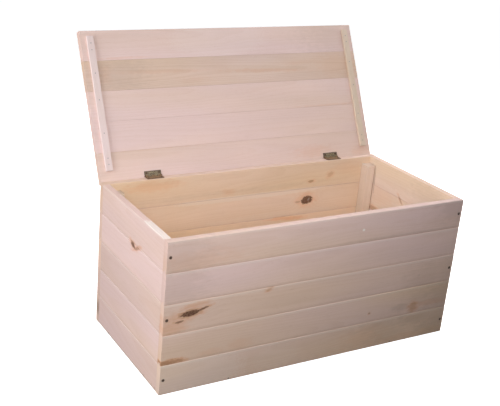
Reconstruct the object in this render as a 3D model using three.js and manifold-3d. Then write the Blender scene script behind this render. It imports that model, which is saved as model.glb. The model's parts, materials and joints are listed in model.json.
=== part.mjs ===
// Wooden toy box built from tongue-and-groove boards, with a lid on two butt hinges, drawn lid open.
// Millimetres, +Z up. X runs along the box, Y from its front to its back, and the origin is the
// middle of its base. Boards are numbered upwards on the walls and from the hinges forward on the lid.

import * as THREE from "three";
import { mergeVertices } from "three/addons/utils/BufferGeometryUtils.js";
import Module from "manifold-3d";

const wasm = await Module();
wasm.setup();

// Walls
const BOX_LENGTH = 914;
const BOX_DEPTH = 420;
const BOARD_FACE = 83;
const BOARDS_PER_PANEL = 5;
const BOARD_THICKNESS = 19;
const EASED_EDGE = 1.2;
const TONGUE_THICKNESS = 6;
const TONGUE_HEIGHT = 6;
const GAP = 0.3; // left between two pieces that touch

// Floor panel and corner posts
const FLOOR_THICKNESS = 12;
const POST_SIDE = 30;
const POST_END_GAP = 2; // between a post and the end wall beside it
const POST_DROP = 21; // the posts stop this far below the rim, so that the lid's cleats clear them

// Lid
const LID_END_INSET = 3; // each end of the lid stops this far inside the end of the box
const LID_FRONT_INSET = 8; // its front edge stops this far behind the front face
const LID_OPEN_ANGLE = 117.5; // from shut to resting on the back wall
const LID_EASED_EDGE = 0.2;
const CLEAT_WIDTH = 20;
const CLEAT_THICKNESS = 7;
const CLEAT_SIDE_CLEARANCE = 1;
const CLEAT_BACK_CLEARANCE = 2.5;
const CLEAT_FRONT_CLEARANCE = 5;

// Butt hinges
const HINGE_LENGTH = 50;
const HINGE_FROM_END = 157; // from the end of the box to the middle of the hinge
const BOX_LEAF_WIDTH = 19; // from the pin's axis
const LID_LEAF_WIDTH = 14;
const LEAF_THICKNESS = 1.6;
const LEAF_CLEARANCE = 1.2; // between the two leaves when the lid is shut
const BARREL_RADIUS = 2.2;
const BARREL_BEHIND_WALL = 2.6; // the pin's axis stands this far behind the back face
const BARREL_CLEARANCE = 0.5;
const KNUCKLES = 5;
const BARREL_SEGMENTS = 16;
const PIN_RADIUS = 1.05;
const PIN_BORE_RADIUS = 1.2;
const PIN_HEAD_RADIUS = 1.7;
const PIN_HEAD_THICKNESS = 0.8;
const LEAF_SCREW_SPACING = 38;
const BOX_SCREW_FROM_AXIS = 12.5;
const LID_SCREW_FROM_AXIS = 8.5;

// Screws
const WALL_SCREW = {
  headRadius: 4,
  headHeight: 3,
  rim: 0.4,
  shankRadius: 1.9,
  length: 45,
  recessLength: 5.2,
  recessDepth: 1.5,
};
const HINGE_SCREW = {
  headRadius: 3.1,
  headHeight: 1.6,
  rim: 0.2,
  shankRadius: 1.5,
  length: 15,
  recessLength: 3.8,
  recessDepth: 0.8,
};
const RECESS_WIDTH = 0.9;
const POINT_TAPER = 3; // length of a screw's point, in shank radii
const POINT_BLUNTNESS = 0.2; // radius of its tip, in shank radii
const SCREW_SUNK = 0.4; // how far a wall screw's head lies below the wood
const DRILL_ABOVE = 1; // how far a drilled hole's cutter stands above the screw's head
const SCREWED_BOARDS = [1, 3, 5];
const SCREW_SEGMENTS = 12;

// Derived sizes
const BOX_HEIGHT = BOARD_FACE * BOARDS_PER_PANEL;
const INNER_LENGTH = BOX_LENGTH - 2 * BOARD_THICKNESS;
const INNER_DEPTH = BOX_DEPTH - 2 * BOARD_THICKNESS;
const SIDE_BOARD_LENGTH = INNER_DEPTH - 2 * GAP;
const PIN_ABOVE_RIM = GAP + LEAF_THICKNESS + LEAF_CLEARANCE / 2;
const PIN_Y = BOX_DEPTH / 2 + BARREL_BEHIND_WALL;
const PIN_Z = BOX_HEIGHT + PIN_ABOVE_RIM;
const LEAN = THREE.MathUtils.degToRad(LID_OPEN_ANGLE - 90);
const LID_LENGTH = BOX_LENGTH - 2 * LID_END_INSET;
const LID_REACH = BOX_DEPTH + BARREL_BEHIND_WALL - LID_FRONT_INSET; // from the pin to the front edge
// The lid's back edge runs past the pin until it meets the back wall at the open angle.
const LID_TAIL = (BARREL_BEHIND_WALL + PIN_ABOVE_RIM * Math.cos(LEAN) - GAP) / Math.sin(LEAN);
const LID_BOARD_FACE = (LID_REACH + LID_TAIL) / BOARDS_PER_PANEL;

const pine = new THREE.MeshStandardMaterial({ color: 0xe2c2a4, roughness: 0.7, metalness: 0 });
const pineLid = new THREE.MeshStandardMaterial({ color: 0xe0c0ae, roughness: 0.7, metalness: 0 });
const pineTrim = new THREE.MeshStandardMaterial({ color: 0xe8cdb4, roughness: 0.7, metalness: 0 });
const plywood = new THREE.MeshStandardMaterial({ color: 0xd8b893, roughness: 0.75, metalness: 0 });
const antiqueBrass = new THREE.MeshStandardMaterial({ color: 0x7d6a3c, roughness: 0.45, metalness: 1 });
const darkSteel = new THREE.MeshStandardMaterial({ color: 0x3a322c, roughness: 0.55, metalness: 0.9 });

// A three.js geometry as a manifold-3d solid.
function solidOf(geometry) {
  const bare = geometry.clone();
  bare.deleteAttribute("normal");
  bare.deleteAttribute("uv");
  const merged = mergeVertices(bare, 1e-4);
  return new wasm.Manifold(
    new wasm.Mesh({
      numProp: 3,
      vertProperties: new Float32Array(merged.attributes.position.array),
      triVerts: new Uint32Array(merged.index.array),
    }),
  );
}

// A manifold-3d solid as a flat-shaded three.js geometry.
function geometryOf(solid) {
  const { vertProperties, triVerts } = solid.getMesh();
  const indexed = new THREE.BufferGeometry();
  indexed.setAttribute("position", new THREE.BufferAttribute(vertProperties, 3));
  indexed.setIndex(new THREE.BufferAttribute(triVerts, 1));
  const geometry = indexed.toNonIndexed();
  geometry.computeVertexNormals();
  return geometry;
}

function piece(name, geometry, material, parent) {
  const mesh = new THREE.Mesh(geometry, material);
  mesh.name = name;
  parent.add(mesh);
  return mesh;
}

// Cuts a cutter's shape out of a placed mesh, wherever the two meshes stand.
function cut(mesh, cutter) {
  mesh.updateWorldMatrix(true, false);
  cutter.updateWorldMatrix(true, false);
  const toMesh = mesh.matrixWorld.clone().invert().multiply(cutter.matrixWorld);
  const tool = cutter.geometry.clone().applyMatrix4(toMesh);
  mesh.geometry = geometryOf(solidOf(mesh.geometry).subtract(solidOf(tool)));
}

// A board's section: thickness across, face upwards from 0, eased edges, tongue on top, groove below.
function boardSection(face, eased, hasTongue, hasGroove) {
  const half = BOARD_THICKNESS / 2;
  const tongueHalf = TONGUE_THICKNESS / 2;
  const grooveHalf = tongueHalf + GAP;
  const grooveDepth = TONGUE_HEIGHT + GAP;
  const top = face - GAP;
  const section = new THREE.Shape();
  section.moveTo(-half + eased, 0);
  if (hasGroove) {
    section.lineTo(-grooveHalf, 0);
    section.lineTo(-grooveHalf, grooveDepth);
    section.lineTo(grooveHalf, grooveDepth);
    section.lineTo(grooveHalf, 0);
  }
  section.lineTo(half - eased, 0);
  section.lineTo(half, eased);
  section.lineTo(half, top - eased);
  section.lineTo(half - eased, top);
  if (hasTongue) {
    section.lineTo(tongueHalf, top);
    section.lineTo(tongueHalf, top + TONGUE_HEIGHT);
    section.lineTo(-tongueHalf, top + TONGUE_HEIGHT);
    section.lineTo(-tongueHalf, top);
  }
  section.lineTo(-half + eased, top);
  section.lineTo(-half, top - eased);
  section.lineTo(-half, eased);
  section.closePath();
  return section;
}

// A board centred on its own length, which runs along its local Z.
function boardGeometry(length, face, eased, number) {
  const section = boardSection(face, eased, number < BOARDS_PER_PANEL, number > 1);
  const geometry = new THREE.ExtrudeGeometry(section, { depth: length, bevelEnabled: false });
  return geometry.translate(0, 0, -length / 2);
}

// Turns a piece so that its local X, Y and Z point along three given axes.
function orient(mesh, xAxis, yAxis, zAxis) {
  const basis = new THREE.Matrix4().makeBasis(
    new THREE.Vector3(...xAxis),
    new THREE.Vector3(...yAxis),
    new THREE.Vector3(...zAxis),
  );
  mesh.quaternion.setFromRotationMatrix(basis);
}

// The front or back wall, whose boards run the whole length and cover the side boards' ends.
function longWall(name, centreY, parent) {
  const boards = [];
  for (let number = 1; number <= BOARDS_PER_PANEL; number += 1) {
    const geometry = boardGeometry(BOX_LENGTH, BOARD_FACE, EASED_EDGE, number);
    const board = piece(`${name}_board_${number}`, geometry, pine, parent);
    orient(board, [0, 1, 0], [0, 0, 1], [1, 0, 0]);
    board.position.set(0, centreY, (number - 1) * BOARD_FACE);
    boards.push(board);
  }
  return boards;
}

function sideWall(name, centreX, parent) {
  const boards = [];
  for (let number = 1; number <= BOARDS_PER_PANEL; number += 1) {
    const geometry = boardGeometry(SIDE_BOARD_LENGTH, BOARD_FACE, EASED_EDGE, number);
    const board = piece(`${name}_board_${number}`, geometry, pine, parent);
    orient(board, [-1, 0, 0], [0, 0, 1], [0, 1, 0]);
    board.position.set(centreX, 0, (number - 1) * BOARD_FACE);
    boards.push(board);
  }
  return boards;
}

function floorPanel(parent) {
  const geometry = new THREE.BoxGeometry(
    INNER_LENGTH - 2 * GAP,
    INNER_DEPTH - 2 * GAP,
    FLOOR_THICKNESS,
  );
  const panel = piece("floor_panel", geometry, plywood, parent);
  panel.position.set(0, 0, FLOOR_THICKNESS / 2);
}

// Square posts that stand on the floor panel in the four corners.
function cornerPosts(parent) {
  const foot = FLOOR_THICKNESS + GAP;
  const height = BOX_HEIGHT - POST_DROP - foot;
  const centreX = INNER_LENGTH / 2 - POST_END_GAP - POST_SIDE / 2;
  const centreY = INNER_DEPTH / 2 - GAP - POST_SIDE / 2;
  for (const [across, signX] of [["left", -1], ["right", 1]]) {
    for (const [along, signY] of [["front", -1], ["back", 1]]) {
      const geometry = new THREE.BoxGeometry(POST_SIDE, POST_SIDE, height);
      const post = piece(`${along}_${across}_post`, geometry, pineTrim, parent);
      post.position.set(signX * centreX, signY * centreY, foot + height / 2);
    }
  }
}

// Outline of a countersunk screw from its point up to its head, grown by some clearance. The hole
// it needs has the same outline, carried on above the head.
function screwOutline(size, grow, above) {
  const tip = -size.length - grow;
  const shank = size.shankRadius + grow;
  const head = size.headRadius + grow;
  return [
    new THREE.Vector2(0, tip),
    new THREE.Vector2(shank * POINT_BLUNTNESS, tip),
    new THREE.Vector2(shank, tip + POINT_TAPER * size.shankRadius),
    new THREE.Vector2(shank, -size.headHeight - grow),
    new THREE.Vector2(head, -size.rim - grow),
    new THREE.Vector2(head, above),
    new THREE.Vector2(0, above),
  ];
}

// A cross-head screw whose head faces along a direction, with the hole it needs cut in each host.
function screw(name, size, position, facing, material, parent, hosts) {
  const turn = new THREE.Quaternion().setFromUnitVectors(new THREE.Vector3(0, 1, 0), facing);
  let body = solidOf(new THREE.LatheGeometry(screwOutline(size, 0, 0), SCREW_SEGMENTS));
  for (const slotTurn of [0, Math.PI / 2]) {
    const slot = new THREE.BoxGeometry(size.recessLength, 2 * size.recessDepth, RECESS_WIDTH);
    body = body.subtract(solidOf(slot.rotateY(slotTurn)));
  }
  const mesh = piece(name, geometryOf(body), material, parent);
  mesh.position.copy(position);
  mesh.quaternion.copy(turn);
  const hole = new THREE.LatheGeometry(screwOutline(size, GAP, DRILL_ABOVE), SCREW_SEGMENTS);
  const drill = new THREE.Mesh(hole);
  drill.position.copy(position);
  drill.quaternion.copy(turn);
  parent.add(drill);
  for (const host of hosts) {
    cut(host, drill);
  }
  parent.remove(drill);
}

// Screws through a long wall's ends into the end grain of the side boards.
function wallScrews(name, boards, sign, leftBoards, rightBoards, parent) {
  const faceY = sign * (BOX_DEPTH / 2 - SCREW_SUNK);
  const facing = new THREE.Vector3(0, sign, 0);
  for (const number of SCREWED_BOARDS) {
    for (const [side, signX, sideBoards] of [["left", -1, leftBoards], ["right", 1, rightBoards]]) {
      const x = signX * (BOX_LENGTH - BOARD_THICKNESS) / 2;
      const position = new THREE.Vector3(x, faceY, (number - 0.5) * BOARD_FACE);
      const hosts = [boards[number - 1], sideBoards[number - 1]];
      screw(`${name}_${side}_screw_${number}`, WALL_SCREW, position, facing, darkSteel, parent, hosts);
    }
  }
}

// A cylinder along X, centred on the hinge's axis.
function roundBar(radius, length, centreX) {
  const bar = new THREE.CylinderGeometry(radius, radius, length, BARREL_SEGMENTS);
  return bar.rotateZ(Math.PI / 2).translate(centreX, 0, 0);
}

// One leaf of a butt hinge about the pin's axis: a plate in front of the axis, below it for the box's
// leaf (side -1) and above it for the lid's (side 1), and the knuckles that belong to this leaf.
function leafGeometry(side, isOwnKnuckle) {
  const width = side < 0 ? BOX_LEAF_WIDTH : LID_LEAF_WIDTH;
  const plate = new THREE.BoxGeometry(HINGE_LENGTH, width, LEAF_THICKNESS);
  plate.translate(0, -width / 2, side * (LEAF_CLEARANCE + LEAF_THICKNESS) / 2);
  let leaf = solidOf(plate);
  const pitch = HINGE_LENGTH / KNUCKLES;
  for (let knuckle = 0; knuckle < KNUCKLES; knuckle += 1) {
    const centreX = (knuckle + 0.5) * pitch - HINGE_LENGTH / 2;
    if (isOwnKnuckle(knuckle)) {
      const isEnd = knuckle === 0 || knuckle === KNUCKLES - 1;
      const length = pitch - (isEnd ? GAP / 2 : GAP);
      const shift = isEnd ? Math.sign(centreX) * GAP / 4 : 0;
      leaf = leaf.add(solidOf(roundBar(BARREL_RADIUS, length, centreX + shift)));
    } else {
      leaf = leaf.subtract(solidOf(roundBar(BARREL_RADIUS + BARREL_CLEARANCE, pitch + GAP, centreX)));
    }
  }
  return geometryOf(leaf.subtract(solidOf(roundBar(PIN_BORE_RADIUS, HINGE_LENGTH + 2, 0))));
}

function pinGeometry() {
  const shaftLength = HINGE_LENGTH + 2 * (GAP + PIN_HEAD_THICKNESS);
  let pin = solidOf(roundBar(PIN_RADIUS, shaftLength, 0));
  for (const end of [-1, 1]) {
    const centreX = end * (shaftLength - PIN_HEAD_THICKNESS) / 2;
    pin = pin.add(solidOf(roundBar(PIN_HEAD_RADIUS, PIN_HEAD_THICKNESS, centreX)));
  }
  return geometryOf(pin);
}

// One hinge: its lower leaf and pin belong to the box, its upper leaf to the lid.
function hinge(name, centreX, box, lid, rimBoard, lidBoard) {
  const boxLeaf = piece(`${name}_box_leaf`, leafGeometry(-1, (k) => k % 2 === 0), antiqueBrass, box);
  boxLeaf.position.set(centreX, PIN_Y, PIN_Z);
  const pin = piece(`${name}_pin`, pinGeometry(), antiqueBrass, box);
  pin.position.set(centreX, PIN_Y, PIN_Z);
  const lidLeaf = piece(`${name}_lid_leaf`, leafGeometry(1, (k) => k % 2 === 1), antiqueBrass, lid);
  lidLeaf.position.set(centreX, 0, 0);
  const inner = LEAF_CLEARANCE / 2;
  for (const [number, end] of [[1, -1], [2, 1]]) {
    const x = centreX + end * LEAF_SCREW_SPACING / 2;
    const onBox = new THREE.Vector3(x, PIN_Y - BOX_SCREW_FROM_AXIS, PIN_Z - inner);
    const up = new THREE.Vector3(0, 0, 1);
    const boxHosts = [boxLeaf, rimBoard];
    screw(`${name}_box_screw_${number}`, HINGE_SCREW, onBox, up, antiqueBrass, box, boxHosts);
    const onLid = new THREE.Vector3(x, -LID_SCREW_FROM_AXIS, inner);
    const down = new THREE.Vector3(0, 0, -1);
    const lidHosts = [lidLeaf, lidBoard];
    screw(`${name}_lid_screw_${number}`, HINGE_SCREW, onLid, down, antiqueBrass, lid, lidHosts);
  }
}

// The lid's panel as it lies when shut, about the pin's axis.
function lidPanel(parent) {
  const boards = [];
  for (let number = 1; number <= BOARDS_PER_PANEL; number += 1) {
    const geometry = boardGeometry(LID_LENGTH, LID_BOARD_FACE, LID_EASED_EDGE, number);
    const board = piece(`lid_board_${number}`, geometry, pineLid, parent);
    orient(board, [0, 0, 1], [0, -1, 0], [1, 0, 0]);
    const backEdge = LID_TAIL - (number - 1) * LID_BOARD_FACE;
    board.position.set(0, backEdge, PIN_ABOVE_RIM + BOARD_THICKNESS / 2);
    boards.push(board);
  }
  return boards;
}

// Battens across the underside of the lid, which drop inside the side walls when it shuts.
function lidCleats(parent) {
  const backEnd = BOARD_THICKNESS + BARREL_BEHIND_WALL + CLEAT_BACK_CLEARANCE;
  const frontEnd = BOX_DEPTH + BARREL_BEHIND_WALL - BOARD_THICKNESS - CLEAT_FRONT_CLEARANCE;
  const length = frontEnd - backEnd;
  const centreX = INNER_LENGTH / 2 - CLEAT_SIDE_CLEARANCE - CLEAT_WIDTH / 2;
  for (const [side, sign] of [["left", -1], ["right", 1]]) {
    const geometry = new THREE.BoxGeometry(CLEAT_WIDTH, length, CLEAT_THICKNESS);
    const cleat = piece(`lid_cleat_${side}`, geometry, pineTrim, parent);
    const z = PIN_ABOVE_RIM - GAP - CLEAT_THICKNESS / 2;
    cleat.position.set(sign * centreX, -(backEnd + frontEnd) / 2, z);
  }
}

const box = new THREE.Group();
const wallCentreY = (BOX_DEPTH - BOARD_THICKNESS) / 2;
const wallCentreX = (BOX_LENGTH - BOARD_THICKNESS) / 2;
const frontBoards = longWall("front", -wallCentreY, box);
const backBoards = longWall("back", wallCentreY, box);
const leftBoards = sideWall("left", -wallCentreX, box);
const rightBoards = sideWall("right", wallCentreX, box);
floorPanel(box);
cornerPosts(box);
wallScrews("front", frontBoards, -1, leftBoards, rightBoards, box);
wallScrews("back", backBoards, 1, leftBoards, rightBoards, box);

const lid = new THREE.Group();
lid.position.set(0, PIN_Y, PIN_Z);
lid.rotation.x = -THREE.MathUtils.degToRad(LID_OPEN_ANGLE);
const lidBoards = lidPanel(lid);
lidCleats(lid);

for (const [side, sign] of [["left", -1], ["right", 1]]) {
  const centreX = sign * (BOX_LENGTH / 2 - HINGE_FROM_END);
  hinge(`${side}_hinge`, centreX, box, lid, backBoards[BOARDS_PER_PANEL - 1], lidBoards[0]);
}

const toyBox = new THREE.Group();
toyBox.add(box, lid);

export default toyBox;
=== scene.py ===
import json
import math
import random
from collections import namedtuple

import bmesh
import bpy
from mathutils import Euler, Matrix, Vector


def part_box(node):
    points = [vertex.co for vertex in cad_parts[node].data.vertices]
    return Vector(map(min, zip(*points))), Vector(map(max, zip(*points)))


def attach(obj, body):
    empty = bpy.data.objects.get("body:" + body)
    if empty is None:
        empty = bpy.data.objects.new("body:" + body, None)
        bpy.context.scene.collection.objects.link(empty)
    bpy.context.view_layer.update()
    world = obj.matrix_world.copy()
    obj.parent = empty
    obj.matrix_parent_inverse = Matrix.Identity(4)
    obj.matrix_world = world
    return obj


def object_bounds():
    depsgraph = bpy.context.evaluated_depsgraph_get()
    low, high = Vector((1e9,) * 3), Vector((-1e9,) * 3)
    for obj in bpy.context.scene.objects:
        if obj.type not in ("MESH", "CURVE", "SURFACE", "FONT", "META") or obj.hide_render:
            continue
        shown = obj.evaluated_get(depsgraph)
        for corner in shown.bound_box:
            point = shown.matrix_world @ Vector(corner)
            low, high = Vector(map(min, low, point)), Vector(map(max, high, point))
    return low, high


# The looks of the wooden toy box: pine boards, plywood floor, antique brass hinges, steel screws
# and nails. Metres, in the CAD model's frame: X along the box, Y from front to back, Z up.

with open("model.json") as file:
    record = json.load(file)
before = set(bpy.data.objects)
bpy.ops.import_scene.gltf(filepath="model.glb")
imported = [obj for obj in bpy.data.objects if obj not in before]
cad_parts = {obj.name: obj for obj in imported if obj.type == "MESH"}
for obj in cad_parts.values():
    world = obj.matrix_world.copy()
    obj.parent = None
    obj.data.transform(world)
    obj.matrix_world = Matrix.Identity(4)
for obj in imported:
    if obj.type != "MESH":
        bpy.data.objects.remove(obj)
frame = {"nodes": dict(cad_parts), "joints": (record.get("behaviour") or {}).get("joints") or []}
cad_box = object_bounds()

MM = 0.001
X_AXIS = Vector((1, 0, 0))
Y_AXIS = Vector((0, 1, 0))
Z_AXIS = Vector((0, 0, 1))

# Camera
CAMERA_PLACE = (-1.3446, -1.9522, 1.2701)
CAMERA_HEADING = 30.43  # degrees from +Y towards +X
CAMERA_DOWN = 20.58  # degrees below the horizon
CAMERA_ROLL = 4.71  # degrees
CAMERA_LENS = 66.17  # focal length in millimetres
CAMERA_SENSOR = 36  # width in millimetres
CAMERA_SHIFT = (0.0549, -0.0117)

# Light: square lamps all aimed at one point of the box
Lamp = namedtuple("Lamp", "name place size power")
LAMPS = (
    Lamp("near_left_lamp", (-1.0, -0.8, 1.0), 0.4, 2.2),
    Lamp("front_lamp", (-0.3, -1.2, 1.0), 0.5, 9.15),
    Lamp("side_lamp", (-1.8, -0.1, 0.9), 1.3, 26.8),
    Lamp("right_lamp", (1.0, 0.2, 1.7), 1.5, 17),
    Lamp("low_lamp", (-0.6, -0.5, 0.08), 0.2, 0.19),
    Lamp("back_lamp", (0.5, 2.2, 1.2), 1.0, 45),
    Lamp("far_end_lamp", (2.3, 0.5, 0.8), 0.8, 25),
)
GLARING_SIZE = 1.2  # lamps this large would glare on a board seen edge-on, so they aren't reflected
LIGHT_TARGET = (0, 0, 0.25)
SKY_STRENGTH = 0.02
FLOOR_SIZE = 40
WALL_HEIGHT = 15
STUDIO_WHITE = (0.85, 0.85, 0.85, 1)
STUDIO_GLOW = 1.0

# Layout of the boards, as in the CAD model
BOARDS_PER_PANEL = 5
LID_OPEN_ANGLE = 117.5
WALL_BOARD_FACE = 83 * MM

# Pine
EARLY_WOOD = (0.800, 0.618, 0.550, 1)
LATE_WOOD = (0.690, 0.490, 0.385, 1)
TRIM_EARLY = (0.755, 0.645, 0.605, 1)
TRIM_LATE = (0.660, 0.515, 0.425, 1)
POST_EARLY = (0.705, 0.590, 0.485, 1)
POST_LATE = (0.630, 0.485, 0.365, 1)
# Pale wood for the pale patches, and the colour of the painted highlights along the boards' upper edges.
PALE_WOOD_AND_HIGHLIGHT = (0.950, 0.900, 0.850, 1)
RING_WIDTH = 4.2 * MM
RING_TAPER = 0.012  # how fast the rings widen along a board
PINK_TINT = (1.0, 0.97, 1.03, 1)
AMBER_TINT = (1.0, 0.955, 0.82, 1)
END_GRAIN_TINT = (1.02, 1.00, 1.00, 1)
# Painted shade at the seams, along each wall board's lower edge.
PAINTED_SEAM_SHADE = (0.66, 0.58, 0.50, 1)
# Painted shade that dims boards' chamfers, rims and ends where the lamps catch them.
PAINTED_CHAMFER_SHADE = (0.82, 0.82, 0.82, 1)
PANEL_WARMTH = {"front": -0.2, "back": -0.2, "left": -0.5, "right": -0.2, "lid": -0.6}
# Corrections to the colour of each panel's inner face, and of the posts' faces towards the front, that
# make up for these lamps. They aren't a property of the wood.
INSIDE_TINT = {
    "front": (1.04, 1.06, 0.94, 1),
    "back": (1.15, 1.20, 1.08, 1),
    "left": (1.04, 1.06, 0.94, 1),
    "right": (1.04, 1.13, 1.07, 1),
    "lid": (1.00, 1.03, 1.045, 1),
}
POST_FRONT_TINT = (1.17, 1.21, 1.25, 1)
NO_TINT = (1, 1, 1, 1)
FAINT_HALO_TINT = (0.97, 0.82, 0.70, 1)
DEEP_HALO_TINT = (0.71, 0.63, 0.56, 1)
# The grey of the shade marks: painted shade.
PAINTED_SHADE_TINT = (0.64, 0.64, 0.62, 1)
KNOT_HEART = (0.105, 0.050, 0.034, 1)
KNOT_RIM = (0.230, 0.125, 0.080, 1)
PLY_EARLY = (0.720, 0.530, 0.370, 1)
PLY_LATE = (0.600, 0.400, 0.240, 1)
STREAK_TINT = (0.80, 0.68, 0.56, 1)
FLECK_TINT = (0.62, 0.46, 0.34, 1)
WOOD_SPECULAR = 0.12
FIBRE_DEPTH = 0.12 * MM
KNOT_RAGGEDNESS = 0.9
# How far from a board's edge, in metres, the painted seam shade and the painted seam highlight end and
# how far they are at their strongest.
SEAM_SHADE_REACH = (0.0100, 0.0035)
SEAM_HIGHLIGHT_REACH = (0.0120, 0.0060)

# How strong the painted shade on a wall board's face is along its lower edge, the painted highlight along
# its upper one, and the painted shade on its chamfers. A board's own entry comes before its panel's.
EdgeLook = namedtuple("EdgeLook", "lower_dark upper_pale chamfer")
PLAIN_EDGES = EdgeLook(0, 0, 0)
EDGES = {
    "front": EdgeLook(0.22, 0.17, 0),
    "left": EdgeLook(0.10, 0.12, 1.0),
    "left_board_5": EdgeLook(0.10, 0.12, 0),
}

# Rounding of the edges
BOARD_ROUNDING = {name: 0.5 * MM for name in ("front", "back", "left", "right")}
BOARD_ROUNDING["lid"] = 0.1 * MM
TRIM_ROUNDING = 1.0 * MM

# Metals
BRASS_DARK = (0.130, 0.088, 0.062, 1)
LID_BRASS = (0.390, 0.325, 0.205, 1)
# The box leaves' brass, browner than the lid leaves' and with a lighter dark, is painted light: it stands
# in for how those leaves are lit.
BOX_BRASS = (0.440, 0.285, 0.165, 1)
BOX_BRASS_DARK = (0.190, 0.114, 0.064, 1)
SCREW_BRASS = (0.150, 0.085, 0.060, 1)
BRASS_METALLIC = 0.35  # most of the brass is under a dull patina
STEEL_DARK = (0.100, 0.060, 0.044, 1)
STEEL_LIGHT = (0.240, 0.165, 0.130, 1)
BRIGHT_STEEL_DARK = (0.330, 0.280, 0.270, 1)
BRIGHT_STEEL_LIGHT = (0.460, 0.420, 0.420, 1)
STEEL_METALLIC = 0.6
PATINA_FADE = (0.4 * MM, 3.4 * MM)  # from a leaf's dark edge inwards
PATINA_DEPTH = 0.08 * MM

# Nails
NAIL_RADIUS = 1.9 * MM
BRAD_RADIUS = 1.5 * MM  # of the cleats' nails
NAIL_RISE = 0.35 * MM
NAIL_EDGE = 0.15 * MM
NAIL_DEPTH = 6 * MM
NAIL_SHANK = 0.7 * MM
NAIL_SIDES = 16
FLOOR_NAIL_HEIGHT = 5 * MM
LONG_WALL_NAILS = (197, 723)  # millimetres from the left end
SIDE_WALL_NAILS = (94, 326)  # millimetres from the front
CLEAT_NAILS = (42, 59, 128, 220, 294, 359, 378)  # millimetres from the pin


class Nodes:
    """Adds nodes to one tree. A value may be a number, a tuple or another node's output."""

    def __init__(self, tree):
        self.tree = tree

    def add(self, kind, inputs, **settings):
        node = self.tree.nodes.new("ShaderNode" + kind)
        for name, value in settings.items():
            setattr(node, name, value)
        self.feed(node, inputs)
        return node

    def feed(self, node, inputs):
        for key, value in inputs.items():
            socket = node.inputs[key]
            if isinstance(value, bpy.types.NodeSocket):
                self.tree.links.new(value, socket)
            else:
                socket.default_value = value

    def math(self, operation, *values, clamp=False):
        node = self.add("Math", dict(enumerate(values)), operation=operation, use_clamp=clamp)
        return node.outputs[0]

    def vector(self, operation, *values):
        node = self.add("VectorMath", dict(enumerate(values)), operation=operation)
        is_number = operation in ("DOT_PRODUCT", "LENGTH", "DISTANCE")
        return node.outputs["Value" if is_number else "Vector"]

    def fade(self, value, start, end):
        """0 at start, rising smoothly to 1 at end. The end may be the lower one."""
        sockets = {"Value": value, "From Min": start, "From Max": end}
        return self.add("MapRange", sockets, interpolation_type="SMOOTHSTEP").outputs["Result"]

    def mix(self, factor, first, second, blend="MIX"):
        node = self.add("Mix", {0: factor, 6: first, 7: second}, data_type="RGBA", blend_type=blend)
        return node.outputs[2]

    def tinted(self, factor, colour, tint):
        return self.mix(factor, colour, tint, blend="MULTIPLY")

    def noise(self, point, stretch, detail=2.0):
        """Noise about 0.5 whose blobs are 1/stretch metres long each way."""
        stretched = self.vector("MULTIPLY", point, stretch)
        sockets = {"Vector": stretched, "Scale": 1.0, "Detail": detail, "Roughness": 0.55}
        return self.add("TexNoise", sockets).outputs["Fac"]

    def group(self, tree, inputs):
        node = self.tree.nodes.new("ShaderNodeGroup")
        node.node_tree = tree
        self.feed(node, inputs)
        return node


SOCKETS = {"number": "NodeSocketFloat", "vector": "NodeSocketVector", "colour": "NodeSocketColor"}


def new_group(name, inputs, outputs):
    """An empty node group: its Nodes, the values that come in, and its tree."""
    tree = bpy.data.node_groups.new(name, "ShaderNodeTree")
    for socket, kind in inputs.items():
        tree.interface.new_socket(name=socket, in_out="INPUT", socket_type=SOCKETS[kind])
    for socket, kind in outputs.items():
        tree.interface.new_socket(name=socket, in_out="OUTPUT", socket_type=SOCKETS[kind])
    nodes = Nodes(tree)
    source = tree.nodes.new("NodeGroupInput")
    return nodes, source.outputs, tree


def close_group(nodes, results):
    sink = nodes.tree.nodes.new("NodeGroupOutput")
    for name, value in results.items():
        nodes.tree.links.new(value, sink.inputs[name])


def place_group():
    """Turns a point of the model into one measured along, across and through a board's panel.

    End is 1 on end grain, Flat is 1 on the board's two broad faces and Inside on the inner one.
    """
    inputs = {name: "vector" for name in ("Origin", "Along", "Across", "Through")}
    outputs = {"Point": "vector", "End": "number", "Flat": "number", "Inside": "number"}
    nodes, given, tree = new_group("board_place", inputs, outputs)
    coordinates = nodes.add("TexCoord", {})
    offset = nodes.vector("SUBTRACT", coordinates.outputs["Object"], given["Origin"])
    parts = [nodes.vector("DOT_PRODUCT", offset, given[n]) for n in ("Along", "Across", "Through")]
    point = nodes.add("CombineXYZ", dict(enumerate(parts))).outputs[0]
    facing = nodes.vector("DOT_PRODUCT", coordinates.outputs["Normal"], given["Along"])
    end = nodes.fade(nodes.math("ABSOLUTE", facing), 0.75, 0.95)
    facing = nodes.vector("DOT_PRODUCT", coordinates.outputs["Normal"], given["Through"])
    flat = nodes.fade(nodes.math("ABSOLUTE", facing), 0.5, 0.9)
    inside = nodes.fade(facing, -0.5, -0.9)
    close_group(nodes, {"Point": point, "End": end, "Flat": flat, "Inside": inside})
    return tree


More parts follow.
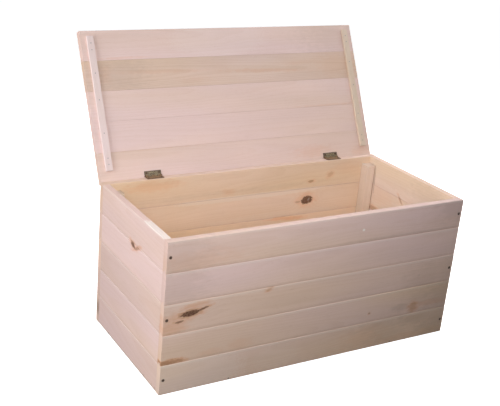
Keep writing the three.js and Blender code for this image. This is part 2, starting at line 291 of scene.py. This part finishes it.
def knot_group():
    """One knot: its dark core, the stained halo round it, and how far it pushes the grain aside."""
    inputs = {"Point": "vector", "Centre": "vector", "Length": "number", "Width": "number"}
    inputs.update({"Turn": "number", "Ragged": "number"})
    outputs = {"Core": "number", "Halo": "number", "Bend": "number"}
    nodes, given, tree = new_group("knot", inputs, outputs)
    offset = nodes.vector("SUBTRACT", given["Point"], given["Centre"])
    flat = nodes.vector("MULTIPLY", offset, (1, 1, 0))
    turn = {"Vector": flat, "Angle": nodes.math("MULTIPLY", given["Turn"], -1.0)}
    turned = nodes.add("VectorRotate", turn, rotation_type="Z_AXIS").outputs[0]
    size = nodes.add("CombineXYZ", {0: given["Length"], 1: given["Width"], 2: 1.0}).outputs[0]
    scaled = nodes.vector("DIVIDE", turned, size)
    ragged = nodes.math("SUBTRACT", nodes.noise(offset, (170, 320, 60), 3.0), 0.5)
    edge = nodes.math("MULTIPLY", ragged, given["Ragged"])
    distance = nodes.math("ADD", nodes.vector("LENGTH", scaled), edge)
    core = nodes.fade(distance, 1.08, 0.80)
    blotches = nodes.math("SUBTRACT", nodes.noise(offset, (45, 110, 40), 2.0), 0.5)
    halo = nodes.fade(nodes.math("MULTIPLY_ADD", blotches, 2.4, distance), 2.5, 0.4)
    bend = nodes.fade(distance, 3.4, 0.0)
    close_group(nodes, {"Core": core, "Halo": halo, "Bend": bend})
    return tree


def ring_pattern(nodes, point, shifted, given):
    """Late wood between 0 and 1, as rings round the tree's heart that wander along the board."""
    from_heart = nodes.vector("SUBTRACT", point, given["Heart"])
    radius = nodes.vector("LENGTH", nodes.vector("MULTIPLY", from_heart, (0, 1, 1)))
    along = nodes.vector("DOT_PRODUCT", point, (RING_TAPER, 0, 0))
    slow = nodes.math("SUBTRACT", nodes.noise(shifted, (1.3, 9, 9), 2.0), 0.5)
    quick = nodes.math("SUBTRACT", nodes.noise(shifted, (9, 60, 60), 2.0), 0.5)
    wander = nodes.math("ADD", nodes.math("MULTIPLY", slow, 0.034), nodes.math("MULTIPLY", quick, 0.0026))
    pushed = nodes.math("MULTIPLY", given["Bend"], 0.016)
    total = radius
    for part in (along, wander, pushed):
        total = nodes.math("ADD", total, part)
    year = nodes.add("CombineXYZ", {0: nodes.math("MULTIPLY", total, 70.0), 1: 0.0, 2: 0.0}).outputs[0]
    uneven = nodes.math("MULTIPLY", nodes.math("SUBTRACT", nodes.noise(year, (1, 1, 1), 1.0), 0.5), 1.6)
    rings = nodes.math("ADD", nodes.math("DIVIDE", total, RING_WIDTH), uneven)
    phase = nodes.math("FRACT", rings)
    rise = nodes.fade(phase, 0.25, 0.90)
    fall = nodes.fade(phase, 1.0, 0.92)
    return nodes.math("MULTIPLY", rise, fall)


def painted_seam_light(nodes, colour, point, shifted, given):
    """Painted shade along a board's lower edge, whose chamfer faces down away from the lamps, and a
    painted highlight along its upper edge, whose chamfer faces up into their light.
    """
    across = nodes.add("SeparateXYZ", {0: point}).outputs["Y"]
    edges = nodes.add("SeparateXYZ", {0: given["Edges"]}).outputs
    uneven = nodes.noise(shifted, (30, 300, 300), 2.0)
    above = nodes.math("MULTIPLY_ADD", uneven, 0.002, nodes.math("SUBTRACT", across, edges["X"]))
    below = nodes.math("MULTIPLY_ADD", uneven, 0.004, nodes.math("SUBTRACT", edges["Y"], across))
    dark = nodes.math("MULTIPLY", nodes.fade(above, *SEAM_SHADE_REACH), given["Lower Dark"])
    pale = nodes.math("MULTIPLY", nodes.fade(below, *SEAM_HIGHLIGHT_REACH), given["Upper Pale"])
    return nodes.mix(pale, nodes.tinted(dark, colour, PAINTED_SEAM_SHADE), PALE_WOOD_AND_HIGHLIGHT)


def pine_group():
    """Planed pine as a solid texture, so that faces, edges and end grain belong together."""
    inputs = {name: "vector" for name in ("Point", "Shift", "Heart", "Edges")}
    inputs.update({"Early": "colour", "Late": "colour", "Inside Tint": "colour"})
    numbers = ("Contrast", "Tone", "Warmth", "Core", "Halo", "Bend", "Pale", "Shade", "End", "Inside")
    inputs.update({name: "number" for name in numbers + ("Lower Dark", "Upper Pale", "Chamfer")})
    outputs = {"Colour": "colour", "Roughness": "number", "Height": "number"}
    nodes, given, tree = new_group("pine", inputs, outputs)
    point = given["Point"]
    shifted = nodes.vector("ADD", point, given["Shift"])
    late = ring_pattern(nodes, point, shifted, given)
    fibre = nodes.noise(shifted, (16, 900, 900), 2.0)
    fleck = nodes.fade(nodes.noise(shifted, (55, 1300, 1300), 1.0), 0.64, 0.74)
    patch = nodes.math("SUBTRACT", nodes.noise(shifted, (2.6, 13, 13), 2.0), 0.5)
    hue = nodes.math("SUBTRACT", nodes.noise(shifted, (1.7, 8, 8), 1.0), 0.5)

    end_boost = nodes.math("MULTIPLY_ADD", given["End"], 0.6, 1.0)
    contrast = nodes.math("MULTIPLY", given["Contrast"], end_boost)
    colour = nodes.mix(nodes.math("MULTIPLY", late, contrast, clamp=True), given["Early"], given["Late"])
    streak = nodes.math("MULTIPLY", nodes.fade(fibre, 0.45, 0.80), 0.15)
    colour = nodes.tinted(streak, colour, STREAK_TINT)
    colour = nodes.tinted(nodes.math("MULTIPLY", fleck, 0.22), colour, FLECK_TINT)

    warmth = nodes.math("MULTIPLY_ADD", given["Warmth"], 0.5, 0.5)
    warmth = nodes.math("MULTIPLY_ADD", hue, 1.5, warmth, clamp=True)
    colour = nodes.tinted(1.0, colour, nodes.mix(warmth, PINK_TINT, AMBER_TINT))
    tone = nodes.math("MULTIPLY_ADD", patch, 0.16, given["Tone"])
    grey = nodes.add("CombineColor", {0: tone, 1: tone, 2: tone}).outputs[0]
    colour = nodes.tinted(1.0, colour, grey)
    colour = nodes.tinted(given["End"], colour, END_GRAIN_TINT)
    colour = nodes.tinted(given["Inside"], colour, given["Inside Tint"])

    # Painted shade and highlight along the seams, painted shade on the chamfers, then the painted shade
    # marks.
    colour = painted_seam_light(nodes, colour, point, shifted, given)
    colour = nodes.tinted(given["Chamfer"], colour, PAINTED_CHAMFER_SHADE)
    colour = nodes.tinted(given["Shade"], colour, PAINTED_SHADE_TINT)
    colour = nodes.tinted(nodes.fade(given["Halo"], 0.0, 0.55), colour, FAINT_HALO_TINT)
    colour = nodes.tinted(nodes.fade(given["Halo"], 0.40, 1.0), colour, DEEP_HALO_TINT)
    grain_in_knot = nodes.fade(nodes.noise(shifted, (300, 420, 90), 3.0), 0.38, 0.66)
    colour = nodes.mix(given["Core"], colour, nodes.mix(grain_in_knot, KNOT_HEART, KNOT_RIM))
    # Pale patches, painted light for the most part.
    colour = nodes.mix(given["Pale"], colour, PALE_WOOD_AND_HIGHLIGHT)

    roughness = nodes.math("MULTIPLY_ADD", fibre, 0.22, 0.50)
    roughness = nodes.math("MULTIPLY_ADD", given["Core"], -0.16, roughness)
    roughness = nodes.math("MULTIPLY_ADD", given["End"], 0.12, roughness, clamp=True)
    height = nodes.math("MULTIPLY_ADD", late, -0.5, fibre)
    height = nodes.math("MULTIPLY_ADD", given["Core"], 0.8, height)
    close_group(nodes, {"Colour": colour, "Roughness": roughness, "Height": height})
    return tree


PLACE = place_group()
KNOT = knot_group()
PINE = pine_group()

# How a panel of boards lies: the point it is measured from, and its directions along the grain,
# across the boards and out of the panel's outer face.
Panel = namedtuple("Panel", "origin along across through")
lid_joint = next(joint for joint in frame["joints"] if joint["name"] == "lid_hinge")
PIN = Vector(lid_joint["pos_m"])
LID_LEAN = math.radians(LID_OPEN_ANGLE - 90)
LID_FORWARD = Vector((0, math.sin(LID_LEAN), math.cos(LID_LEAN)))  # from the pin to the front edge
LID_OUT = Vector((0, math.cos(LID_LEAN), -math.sin(LID_LEAN)))
BASE = Vector((0, 0, 0))
PANELS = {
    "front": Panel(BASE, X_AXIS, Z_AXIS, -Y_AXIS),
    "back": Panel(BASE, X_AXIS, Z_AXIS, Y_AXIS),
    "left": Panel(BASE, Y_AXIS, Z_AXIS, -X_AXIS),
    "right": Panel(BASE, Y_AXIS, Z_AXIS, X_AXIS),
    "lid": Panel(PIN, X_AXIS, LID_FORWARD, LID_OUT),
    "cleat": Panel(PIN, LID_FORWARD, X_AXIS, LID_OUT),
    "post": Panel(BASE, Z_AXIS, X_AXIS, Y_AXIS),
    "floor": Panel(BASE, X_AXIS, Y_AXIS, -Z_AXIS),
}

# A mark on a board: where it is along and across the panel, half its length and width, how far it is
# turned from the grain, and how strong its dark core, its brown halo, its pale patch (painted light for
# the most part) and its grey painted shade are.
Mark = namedtuple("Mark", "along across length width turn core halo pale shade")
Look = namedtuple("Look", "tone warmth heart contrast")
HALF_LENGTH = (cad_box[1].x - cad_box[0].x) / 2
HALF_DEPTH = (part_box("back_board_1")[1].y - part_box("front_board_1")[0].y) / 2


def from_left(distance):
    """Along a panel, for a distance in millimetres from the box's left end."""
    return distance * MM - HALF_LENGTH


def from_front(distance):
    return distance * MM - HALF_DEPTH


def knot(along, across, length, width, turn=0, core=1.0, halo=0.5, pale=0, shade=0):
    """A mark with its sizes in millimetres and its turn in degrees."""
    half_sizes = (length / 2 * MM, width / 2 * MM)
    return Mark(along, across * MM, *half_sizes, math.radians(turn), core, halo, pale, shade)


def stain(along, across, length, width, turn, strength):
    return knot(along, across, length, width, turn, 0, strength)


# Pale patches are painted light for the most part: they brighten spots and rims that the lamps light too
# little.
def pale_patch(along, across, length, width, turn, strength):
    return knot(along, across, length, width, turn, 0, 0, strength)


# Painted shade: a soft grey darkening where the lamps light the wood too much.
def shade(along, across, length, width, turn, strength):
    return knot(along, across, length, width, turn, 0, 0, 0, strength)


# Besides the wood's own knots, stains and flecks, the marks hold painted light: the shade marks, most
# pale patches and a few dark lines.
MARKS = {
    "front_board_1": [
        shade(from_left(690), 66, 120, 24, 0, 0.30),
        shade(from_left(825), 66, 150, 26, 0, 0.45),
        shade(from_left(905), 60, 110, 150, 0, 0.42),
        stain(from_left(620), 40, 110, 50, 0, 0.20),
        stain(from_left(760), 14, 380, 14, 0, 0.20),
        pale_patch(from_left(40), 40, 420, 130, 0, 0.14),
        pale_patch(from_left(340), 41, 150, 70, 0, 0.06),
        shade(from_left(700), 40, 80, 50, 0, 0.22),
    ],
    "front_board_2": [
        knot(from_left(25), 90, 62, 10, 1, 0.05, 0.95),
        stain(from_left(140), 95, 54, 14, 0, 0.22),
        stain(from_left(222), 101, 54, 24, 0, 0.22),
        knot(from_left(792), 104, 26, 24, 0, 0.04, 0.55, 0, 0.35),
        knot(from_left(845), 107, 120, 12, 0, 0, 0.28, 0, 0.25),
        shade(from_left(745), 109, 40, 14, 0, 0.40),
        knot(from_left(634), 111, 8, 6, 0, 0.35, 0.5),
        shade(from_left(905), 120, 120, 130, 0, 0.42),
        shade(from_left(820), 132, 70, 50, 0, 0.25),
    ],
    "front_board_3": [
        knot(from_left(72), 216, 52, 15, 6, 0.95, 0.9),
        knot(from_left(107), 223, 38, 6, 14, 0.75, 0.7),
        knot(from_left(45), 198, 24, 6, 4, 0.55, 0.8),
        stain(from_left(38), 206, 60, 26, 0, 0.40),
        stain(from_left(88), 236, 60, 10, 6, 0.45),
        stain(from_left(22), 184, 60, 28, 0, 0.42),
        knot(from_left(297), 244, 22, 8, 20, 0.12, 0.55),
        shade(from_left(794), 202, 10, 6, 0, 0.5),
        shade(from_left(910), 200, 70, 90, 0, 0.22),
        shade(from_left(815), 190, 90, 60, 0, 0.25),
    ],
    "front_board_4": [
        shade(from_left(30), 290, 110, 120, 0, 0.26),
    ],
    "front_board_5": [
        shade(from_left(30), 372, 110, 120, 0, 0.28),
        shade(from_left(890), 395, 90, 60, 0, 0.35),
        stain(from_left(90), 356, 180, 40, 0, 0.22),
        knot(from_left(850), 368, 130, 50, 0, 0, 0.10, 0, 0.12),
        shade(from_left(780), 337, 340, 7, 0, 0.25),
        pale_patch(from_left(574), 369, 9, 8, 0, 0.7),
    ],
    "left_board_4": [
        knot(from_front(193), 327, 27, 13, 14, 0.80, 0.7),
        knot(from_front(170), 326, 34, 8, -24, 0.25, 0.8),
    ],
    "left_board_5": [
        knot(from_front(193), 329, 27, 12, 14, 0.60, 0.7),
        stain(from_front(158), 334, 30, 7, -24, 0.5),
        # Painted highlight along the top edge near the front.
        pale_patch(from_front(75), 415, 130, 5, 0, 0.55),
    ],
    "left_board_3": [
        knot(from_front(14), 178, 16, 8, 60, 0.15, 0.4),
    ],
    "left_board_1": [
        shade(from_front(210), 1, 440, 4, 0, 0.75),
        knot(from_front(27), 7, 4, 7, 0, 0.35, 0.2),
        knot(from_front(45), 7, 4, 6, 0, 0.30, 0.2),
    ],
    "back_board_1": [
        knot(from_left(0), 44, 30, 26, 0, 0.12, 0.15, 0, 0.85),
    ],
    "back_board_3": [
        stain(from_left(605), 241, 86, 9, -3, 0.5),
    ],
    "back_board_4": [
        knot(from_left(669), 294, 42, 28, 6, 0.92, 0.5),
        pale_patch(from_left(676), 296, 12, 7, 60, 0.16),
        knot(from_left(637), 291, 22, 8, 0, 0.25, 0.4),
        # The long pale patch over the seam with board 5 is painted light that fades the groove's shade.
        pale_patch(from_left(475), 328, 550, 18, 0, 0.22),
        pale_patch(from_left(560), 256, 500, 24, 0, 0.08),
    ],
    "back_board_5": [
        knot(from_left(677), 354, 22, 8, 4, 0.35, 0.45),
        knot(from_left(747), 369, 24, 16, 30, 0.12, 0.38),
        # The long pale patch over the seam with board 4 and the shade above it are painted light and
        # painted shade.
        pale_patch(from_left(475), 334, 550, 6, 0, 0.22),
        shade(from_left(400), 348, 360, 12, 0, 0.14),
        stain(from_left(389), 351, 30, 14, 0, 0.3),
        stain(from_left(150), 392, 110, 22, 0, 0.35),
        stain(from_left(810), 385, 70, 30, 0, 0.2),
    ],
    "right_board_5": [
        shade(from_front(90), 374, 120, 80, 0, 0.30),
        knot(from_front(236), 327, 32, 7, 45, 0.35, 0.4),
        # A thin, near-upright dark line beside the back right post: painted shadow of the gap between
        # post and wall.
        knot(from_front(366.5), 345, 95, 4, 87.5, 0.4, 0.15),
    ],
    "right_board_4": [
        knot(from_front(236), 327, 32, 7, 45, 0.35, 0.4),
        # A thin, near-upright dark line beside the back right post: painted shadow of the gap between
        # post and wall.
        knot(from_front(366.5), 345, 95, 4, 87.5, 0.4, 0.15),
        knot(from_front(355), 257, 46, 14, 0, 0.20, 0.65),
        stain(from_front(330), 305, 90, 50, 0, 0.2),
    ],
    "right_board_2": [
        knot(from_front(300), 118, 24, 16, 0, 0.9),
    ],
    "back_board_2": [
        knot(from_left(310), 128, 34, 18, 6, 0.9),
    ],
    "lid_board_5": [
        pale_patch(from_left(430), 378, 330, 110, 0, 0.10),
        shade(from_left(850), 378, 160, 90, 0, 0.28),
        stain(from_left(120), 335, 130, 5, 0, 0.25),
    ],
    "lid_board_4": [
        stain(from_left(230), 292, 200, 9, -1, 0.22),
        stain(from_left(330), 262, 70, 14, 0, 0.16),
        stain(from_left(570), 281, 190, 8, -2, 0.30),
        stain(from_left(710), 300, 130, 10, 2, 0.16),
        stain(from_left(830), 290, 110, 60, 0, 0.20),
        stain(from_left(62), 292, 26, 40, 0, 0.20),
        shade(from_left(115), 290, 90, 70, 0, 0.28),
        pale_patch(from_left(550), 290, 220, 70, 0, 0.05),
    ],
    "lid_board_3": [
        stain(from_left(790), 163, 180, 5, 0, 0.22),
    ],
    "lid_board_1": [
        stain(from_left(170), 76, 230, 5, 0, 0.22),
        stain(from_left(700), 24, 100, 26, 0, 0.25),
        stain(from_left(880), 12, 60, 20, 0, 0.25),
    ],
}

# Tone, warmth (from pink at -1 to amber at 1), heart of the tree (across and through, in
# millimetres from the board's middle) and ring contrast, for the boards that need their own.
LOOKS = {
    "front_board_5": Look(1.00, -0.2, (12, -60), 0.18),
    "front_board_4": Look(1.00, -0.5, (30, -90), 0.14),
    "front_board_3": Look(0.98, -0.1, (-8, -40), 0.18),
    "front_board_2": Look(0.99, 0.4, (-30, -70), 0.18),
    "front_board_1": Look(1.00, 0.6, (20, -50), 0.18),
    "left_board_5": Look(0.97, -0.5, (20, -70), 0.16),
    "left_board_4": Look(1.03, -0.9, (-20, -90), 0.14),
    "left_board_3": Look(0.96, -0.1, (10, -60), 0.18),
    "left_board_2": Look(1.01, -0.6, (-16, -80), 0.15),
    "left_board_1": Look(1.01, -0.6, (24, -100), 0.15),
    "lid_board_5": Look(1.02, -1.0, (20, -80), 0.15),
    "lid_board_4": Look(0.92, 0.2, (-6, -34), 0.34),
    "lid_board_3": Look(1.00, -0.8, (34, -100), 0.14),
    "lid_board_2": Look(1.00, -0.5, (-30, -90), 0.14),
    "lid_board_1": Look(0.97, -0.3, (10, -70), 0.15),
    "lid_cleat_left": Look(1.06, -0.6, (10, -60), 0.15),
    "lid_cleat_right": Look(0.98, 0.9, (-12, -70), 0.15),
    "back_board_5": Look(0.95, 0.4, (15, -85), 0.20),
    "back_board_4": Look(0.96, 0.1, (16, -50), 0.16),
    "back_board_3": Look(1.04, 0.1, (-26, -82), 0.18),
    "back_board_2": Look(0.95, 0.2, (-4, -86), 0.18),
    "back_board_1": Look(0.95, 0.2, (-24, -48), 0.18),
}


def span(node, origin, axis):
    """How far a CAD node reaches along an axis from an origin: its lowest and highest value."""
    values = [(vertex.co - origin).dot(axis) for vertex in frame["nodes"][node].data.vertices]
    return min(values), max(values)


def default_look(node):
    chance = random.Random(node)
    heart = (chance.uniform(-35, 35), chance.uniform(-110, -45))
    warmth = PANEL_WARMTH.get(node.split("_")[0], 0) + chance.uniform(-0.2, 0.2)
    return Look(chance.uniform(0.98, 1.02), warmth, heart, chance.uniform(0.12, 0.22))


def dress(piece, material):
    piece.data.materials.clear()
    piece.data.materials.append(material)


def pine_material(node, panel, inside_tint=NO_TINT, edges=PLAIN_EDGES, woods=(EARLY_WOOD, LATE_WOOD)):
    """Wood for one piece, measured in its panel, with the piece's own look and marks."""
    look = LOOKS.get(node) or default_look(node)
    spans = [span(node, panel.origin, axis) for axis in panel[1:]]
    middles = [(low + high) / 2 for low, high in spans]
    material = bpy.data.materials.new(node + "_pine")
    material.use_nodes = True
    nodes = Nodes(material.node_tree)
    place = nodes.group(PLACE, {
        "Origin": panel.origin,
        "Along": panel.along,
        "Across": panel.across,
        "Through": panel.through,
    }).outputs
    core, halo, bend, pale, shaded = 0.0, 0.0, 0.0, 0.0, 0.0
    for mark in MARKS.get(node, []):
        shape = nodes.group(KNOT, {
            "Point": place["Point"],
            "Centre": (mark.along, mark.across, 0),
            "Length": mark.length,
            "Width": mark.width,
            "Turn": mark.turn,
            "Ragged": KNOT_RAGGEDNESS,
        }).outputs
        core = nodes.math("MAXIMUM", core, nodes.math("MULTIPLY", shape["Core"], mark.core))
        halo = nodes.math("MAXIMUM", halo, nodes.math("MULTIPLY", shape["Halo"], mark.halo))
        bend = nodes.math("ADD", bend, nodes.math("MULTIPLY", shape["Bend"], mark.core))
        # pale gathers the pale patches, most of them painted light, and shaded gathers the painted shade.
        pale = nodes.math("MAXIMUM", pale, nodes.math("MULTIPLY", shape["Core"], mark.pale))
        shaded = nodes.math("MAXIMUM", shaded, nodes.math("MULTIPLY", shape["Halo"], mark.shade))
    chance = random.Random(node + " grain")
    heart = (0, middles[1] + look.heart[0] * MM, middles[2] + look.heart[1] * MM)
    pine = nodes.group(PINE, {
        "Point": place["Point"],
        "End": place["End"],
        "Inside": place["Inside"],
        "Inside Tint": inside_tint,
        "Lower Dark": nodes.math("MULTIPLY", place["Flat"], edges.lower_dark),
        "Upper Pale": nodes.math("MULTIPLY", place["Flat"], edges.upper_pale),
        "Chamfer": nodes.math("MULTIPLY", nodes.math("SUBTRACT", 1.0, place["Flat"]), edges.chamfer),
        "Shift": [chance.uniform(-9, 9) for _ in range(3)],
        "Heart": heart,
        "Edges": (spans[1][0], spans[1][0] + WALL_BOARD_FACE, 0),
        "Early": woods[0],
        "Late": woods[1],
        "Contrast": look.contrast,
        "Tone": look.tone,
        "Warmth": look.warmth,
        "Core": core,
        "Halo": halo,
        "Bend": bend,
        "Pale": pale,
        "Shade": shaded,
    }).outputs
    finish_wood(nodes, material, pine)
    return material


def finish_wood(nodes, material, pine):
    shader = material.node_tree.nodes["Principled BSDF"]
    shader.inputs["Specular IOR Level"].default_value = WOOD_SPECULAR
    bump = nodes.add("Bump", {"Height": pine["Height"], "Distance": FIBRE_DEPTH, "Strength": 0.6})
    links = material.node_tree.links
    links.new(pine["Colour"], shader.inputs["Base Color"])
    links.new(pine["Roughness"], shader.inputs["Roughness"])
    links.new(bump.outputs["Normal"], shader.inputs["Normal"])


def soften(piece, width):
    """Rounds a CAD piece's sharp edges a little, after joining its faceted faces up again."""
    weld = piece.modifiers.new("weld", "WELD")
    weld.merge_threshold = 0.01 * MM
    flat = piece.modifiers.new("flat_faces", "DECIMATE")
    flat.decimate_type = "DISSOLVE"
    flat.angle_limit = math.radians(0.5)
    bevel = piece.modifiers.new("soft_edges", "BEVEL")
    bevel.width = width
    bevel.segments = 2
    bevel.limit_method = "ANGLE"
    bevel.angle_limit = math.radians(25)


def dress_boards():
    for name in ("front", "back", "left", "right", "lid"):
        for number in range(1, BOARDS_PER_PANEL + 1):
            node = f"{name}_board_{number}"
            edges = EDGES.get(node) or EDGES.get(name, PLAIN_EDGES)
            material = pine_material(node, PANELS[name], INSIDE_TINT[name], edges)
            dress(frame["nodes"][node], material)
            soften(frame["nodes"][node], BOARD_ROUNDING[name])


def dress_trim():
    for node in ("lid_cleat_left", "lid_cleat_right"):
        material = pine_material(node, PANELS["cleat"], woods=(TRIM_EARLY, TRIM_LATE))
        dress(frame["nodes"][node], material)
        soften(frame["nodes"][node], TRIM_ROUNDING)
    for depth in ("front", "back"):
        for side in ("left", "right"):
            node = f"{depth}_{side}_post"
            woods = (POST_EARLY, POST_LATE)
            material = pine_material(node, PANELS["post"], POST_FRONT_TINT, woods=woods)
            dress(frame["nodes"][node], material)
            soften(frame["nodes"][node], TRIM_ROUNDING)
    material = pine_material("floor_panel", PANELS["floor"], woods=(PLY_EARLY, PLY_LATE))
    dress(frame["nodes"]["floor_panel"], material)


def metal_material(name, dark, light, metallic, roughness, edges=()):
    """Patinated metal. It's darkest near the edges, each a direction and how far the edge lies."""
    material = bpy.data.materials.new(name)
    material.use_nodes = True
    nodes = Nodes(material.node_tree)
    point = nodes.add("TexCoord", {}).outputs["Object"]
    mottle = nodes.noise(point, (420, 420, 420), 4.0)
    worn = nodes.fade(mottle, 0.30, 0.66)
    for direction, limit in edges:
        from_edge = nodes.math("SUBTRACT", limit, nodes.vector("DOT_PRODUCT", point, direction))
        worn = nodes.math("MULTIPLY", worn, nodes.fade(from_edge, *PATINA_FADE))
    scratch = nodes.fade(nodes.noise(point, (90, 2600, 2600), 2.0), 0.56, 0.74)
    colour = nodes.mix(worn, dark, light)
    colour = nodes.mix(nodes.math("MULTIPLY", scratch, 0.35), colour, light)
    rough = nodes.math("MULTIPLY_ADD", mottle, 0.35, roughness - 0.15)
    bump = nodes.add("Bump", {"Height": mottle, "Distance": PATINA_DEPTH, "Strength": 0.5})
    shader = material.node_tree.nodes["Principled BSDF"]
    shader.inputs["Metallic"].default_value = metallic
    links = material.node_tree.links
    links.new(colour, shader.inputs["Base Color"])
    links.new(rough, shader.inputs["Roughness"])
    links.new(bump.outputs["Normal"], shader.inputs["Normal"])
    return material


def leaf_material(node, dark_edges, dark, light):
    """Brass for a hinge leaf, darkest along the edges that lie in the given directions."""
    edges = [(direction, span(node, BASE, direction)[1]) for direction in dark_edges]
    return metal_material(node + "_brass", dark, light, BRASS_METALLIC, 0.5, edges)


def dress_metal():
    dark_steel = metal_material("dark_steel", STEEL_DARK, STEEL_LIGHT, STEEL_METALLIC, 0.55)
    screw_brass = metal_material("screw_brass", BRASS_DARK, SCREW_BRASS, BRASS_METALLIC, 0.5)
    for node, piece in frame["nodes"].items():
        if node.endswith("lid_leaf"):
            dark_edges = (X_AXIS, -X_AXIS, LID_FORWARD)
            dress(piece, leaf_material(node, dark_edges, BRASS_DARK, LID_BRASS))
        elif node.endswith("box_leaf"):
            dress(piece, leaf_material(node, (-X_AXIS, -Y_AXIS), BOX_BRASS_DARK, BOX_BRASS))
        elif "hinge" in node:
            dress(piece, screw_brass)
        elif "screw" in node:
            dress(piece, dark_steel)
    return dark_steel


def nail(mesh, place, facing, radius):
    """Adds one nail, its domed head on the surface at place and its shank in the wood behind it."""
    turn = Z_AXIS.rotation_difference(facing).to_matrix().to_4x4()
    matrix = Matrix.Translation(place) @ turn
    profile = [
        (0, NAIL_RISE),
        (radius * 0.45, NAIL_RISE * 0.92),
        (radius * 0.85, NAIL_RISE * 0.6),
        (radius, NAIL_EDGE),
        (radius * 0.96, -NAIL_EDGE),
        (NAIL_SHANK, -NAIL_EDGE * 3),
        (NAIL_SHANK, -NAIL_DEPTH),
        (0, -NAIL_DEPTH - 2 * NAIL_SHANK),
    ]
    rings = []
    for ring_radius, height in profile:
        if ring_radius == 0:
            rings.append([mesh.verts.new(matrix @ Vector((0, 0, height)))])
            continue
        ring = []
        for side in range(NAIL_SIDES):
            angle = 2 * math.pi * side / NAIL_SIDES
            local = Vector((ring_radius * math.cos(angle), ring_radius * math.sin(angle), height))
            ring.append(mesh.verts.new(matrix @ local))
        rings.append(ring)
    for upper, lower in zip(rings, rings[1:]):
        for side in range(NAIL_SIDES):
            following = (side + 1) % NAIL_SIDES
            corners = [
                upper[side % len(upper)],
                lower[side % len(lower)],
                lower[following % len(lower)],
                upper[following % len(upper)],
            ]
            mesh.faces.new(list(dict.fromkeys(corners)))


def nail_row(name, places, facing, body, material, radius=NAIL_RADIUS):
    mesh = bmesh.new()
    for place in places:
        nail(mesh, place, facing, radius)
    bmesh.ops.recalc_face_normals(mesh, faces=mesh.faces)
    data = bpy.data.meshes.new(name)
    mesh.to_mesh(data)
    mesh.free()
    data.shade_smooth()
    row = bpy.data.objects.new(name, data)
    bpy.context.scene.collection.objects.link(row)
    dress(row, material)
    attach(row, body)


def make_nails(material):
    wall_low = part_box("front_board_1")[0]
    wall_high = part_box("back_board_1")[1]
    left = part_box("left_board_1")[0].x
    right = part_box("right_board_1")[1].x
    height = FLOOR_NAIL_HEIGHT
    long_wall = [from_left(distance) for distance in LONG_WALL_NAILS]
    side_wall = [from_front(distance) for distance in SIDE_WALL_NAILS]
    front_places = [Vector((x, wall_low.y, height)) for x in long_wall]
    back_places = [Vector((x, wall_high.y, height)) for x in long_wall]
    left_places = [Vector((left, y, height)) for y in side_wall]
    right_places = [Vector((right, y, height)) for y in side_wall]
    nail_row("front_floor_nails", front_places, -Y_AXIS, "box", material)
    nail_row("back_floor_nails", back_places, Y_AXIS, "box", material)
    nail_row("left_floor_nails", left_places, -X_AXIS, "box", material)
    nail_row("right_floor_nails", right_places, X_AXIS, "box", material)
    brads = (BRIGHT_STEEL_DARK, BRIGHT_STEEL_LIGHT, STEEL_METALLIC, 0.5)
    bright_steel = metal_material("bright_steel", *brads)
    for side in ("left", "right"):
        node = f"lid_cleat_{side}"
        low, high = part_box(node)
        face = span(node, PIN, LID_OUT)[0]
        places = []
        for reach in CLEAT_NAILS:
            on_lid = PIN + LID_FORWARD * reach * MM + LID_OUT * face
            places.append(Vector(((low.x + high.x) / 2, on_lid.y, on_lid.z)))
        nail_row(f"{side}_cleat_nails", places, -LID_OUT, "lid", bright_steel, BRAD_RADIUS)


def make_camera():
    data = bpy.data.cameras.new("camera")
    data.lens = CAMERA_LENS
    data.sensor_width = CAMERA_SENSOR
    data.shift_x, data.shift_y = CAMERA_SHIFT
    camera = bpy.data.objects.new("camera", data)
    bpy.context.scene.collection.objects.link(camera)
    heading, down = math.radians(CAMERA_HEADING), math.radians(CAMERA_DOWN)
    turn = Euler((math.pi / 2 - down, 0, -heading), "XYZ").to_matrix().to_4x4()
    roll = Matrix.Rotation(math.radians(CAMERA_ROLL), 4, "Z")
    camera.matrix_world = Matrix.Translation(CAMERA_PLACE) @ turn @ roll
    bpy.context.scene.camera = camera


def area_light(lamp):
    data = bpy.data.lights.new(lamp.name, "AREA")
    data.size = lamp.size
    data.energy = lamp.power
    light = bpy.data.objects.new(lamp.name, data)
    light.visible_camera = False
    light.visible_glossy = lamp.size < GLARING_SIZE
    bpy.context.scene.collection.objects.link(light)
    light.location = lamp.place
    aim = Vector(LIGHT_TARGET) - Vector(lamp.place)
    light.rotation_euler = aim.to_track_quat("-Z", "Y").to_euler()


def make_light():
    for lamp in LAMPS:
        area_light(lamp)
    world = bpy.data.worlds.new("studio")
    world.use_nodes = True
    bpy.context.scene.world = world
    background = world.node_tree.nodes["Background"]
    background.inputs["Color"].default_value = (1, 1, 1, 1)
    background.inputs["Strength"].default_value = SKY_STRENGTH
    bpy.context.scene.view_settings.view_transform = "Standard"


def make_studio():
    """A plain white floor with white walls far off.

    They glow for the camera only: they light nothing, aren't reflected and take no shadows.
    """
    half = FLOOR_SIZE / 2
    corners = [(-half, -half), (half, -half), (half, half), (-half, half)]
    points = [(x, y, z) for z in (0, WALL_HEIGHT) for x, y in corners]
    walls = [(side, (side + 1) % 4, (side + 1) % 4 + 4, side + 4) for side in range(4)]
    data = bpy.data.meshes.new("studio")
    data.from_pydata(points, [], [(0, 1, 2, 3), *walls])
    studio = bpy.data.objects.new("studio", data)
    bpy.context.scene.collection.objects.link(studio)
    material = bpy.data.materials.new("studio_white")
    material.use_nodes = True
    shader = material.node_tree.nodes["Principled BSDF"]
    shader.inputs["Base Color"].default_value = STUDIO_WHITE
    shader.inputs["Roughness"].default_value = 1.0
    shader.inputs["Emission Color"].default_value = (1, 1, 1, 1)
    shader.inputs["Emission Strength"].default_value = STUDIO_GLOW
    data.materials.append(material)
    studio.visible_diffuse = False
    studio.visible_glossy = False
    studio.visible_shadow = False


make_camera()
make_light()
make_studio()
dress_boards()
dress_trim()
make_nails(dress_metal())
